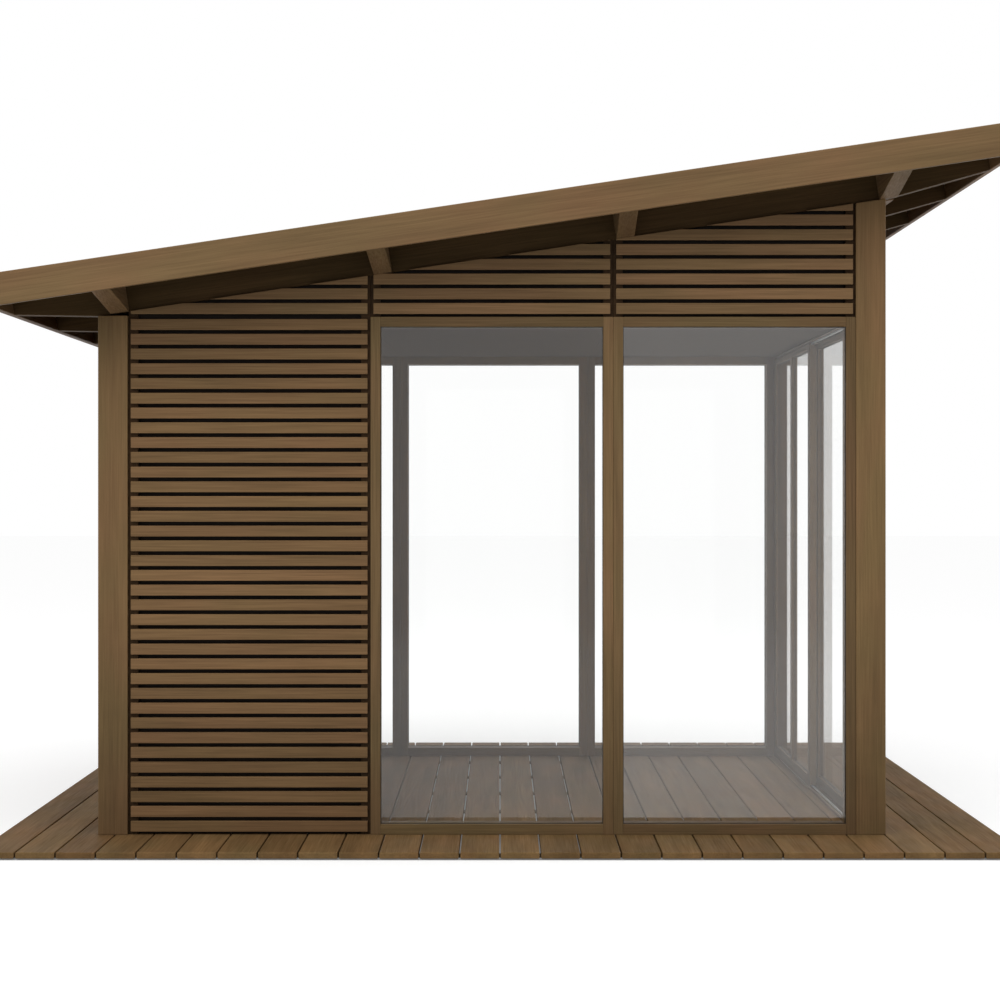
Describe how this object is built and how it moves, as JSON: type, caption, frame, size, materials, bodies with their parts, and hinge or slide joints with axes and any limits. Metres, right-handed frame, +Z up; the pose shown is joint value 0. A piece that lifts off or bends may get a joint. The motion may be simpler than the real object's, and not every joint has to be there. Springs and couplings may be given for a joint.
{
  "type": "glass garden pavilion",
  "caption": "Timber garden pavilion with glazed and slatted bays, a sliding glass door, a raised deck and a single-slope roof with wide overhangs.",
  "frame": {"origin": "under the centre of the deck, on the ground", "axes": "+Z up, the front gable wall faces -Y, and the roof rises towards +X, where the sliding door is"},
  "size_m": [4.06, 3.765, 2.8646],
  "materials": {
    "decking": "oiled, weathered",
    "posts": "planed and stained",
    "cladding_slats": "planed and stained",
    "wall_lining": "near-black stain",
    "joinery": "planed and stained",
    "roof_timber": "planed and stained",
    "edge_boards": "planed and stained",
    "roof_boarding": "dark stain",
    "roof_membrane": "matt sheet",
    "ceiling": "painted board",
    "door_tracks": "mill finish",
    "glazing": "clear"
  },
  "bodies": {
    "building": {"deck_boards": "decking", "deck_bearers": "decking", "post_front_low": "posts", "post_front_high": "posts", "post_back_low": "posts", "post_back_high": "posts", "front_slat_panel": "cladding_slats", "front_lining": "wall_lining", "front_frame_2": "joinery", "front_frame_3": "joinery", "front_glass_2": "glazing", "front_glass_3": "glazing", "back_frame_1": "joinery", "back_frame_2": "joinery", "back_frame_3": "joinery", "back_glass_1": "glazing", "back_glass_2": "glazing", "back_glass_3": "glazing", "front_gable_slats": "cladding_slats", "front_gable_lining": "wall_lining", "back_gable_slats": "cladding_slats", "back_gable_lining": "wall_lining", "low_side_slat_panel_1": "cladding_slats", "low_side_slat_panel_2": "cladding_slats", "low_side_lining": "wall_lining", "door_sill": "joinery", "door_head": "joinery", "door_tracks": "door_tracks", "fixed_leaf_frame": "joinery", "fixed_leaf_glass": "glazing", "high_side_slats": "cladding_slats", "high_side_lining": "wall_lining", "ceiling_panel": "ceiling", "rafter_1": "roof_timber", "rafter_2": "roof_timber", "rafter_3": "roof_timber", "rafter_4": "roof_timber", "cross_beams": "roof_timber", "fascia_front": "edge_boards", "fascia_back": "edge_boards", "fascia_low": "edge_boards", "fascia_high": "edge_boards", "roof_boards": "roof_boarding", "roof_covering": "roof_membrane"},
    "sliding_leaf": {"sliding_leaf_frame": "joinery", "sliding_leaf_glass": "glazing"}
  },
  "joints": [
    {"name": "door_slide", "type": "slide", "parent": "building", "child": "sliding_leaf", "axis": [0, 1, 0], "range_m": [0, 1.238]}
  ]
}
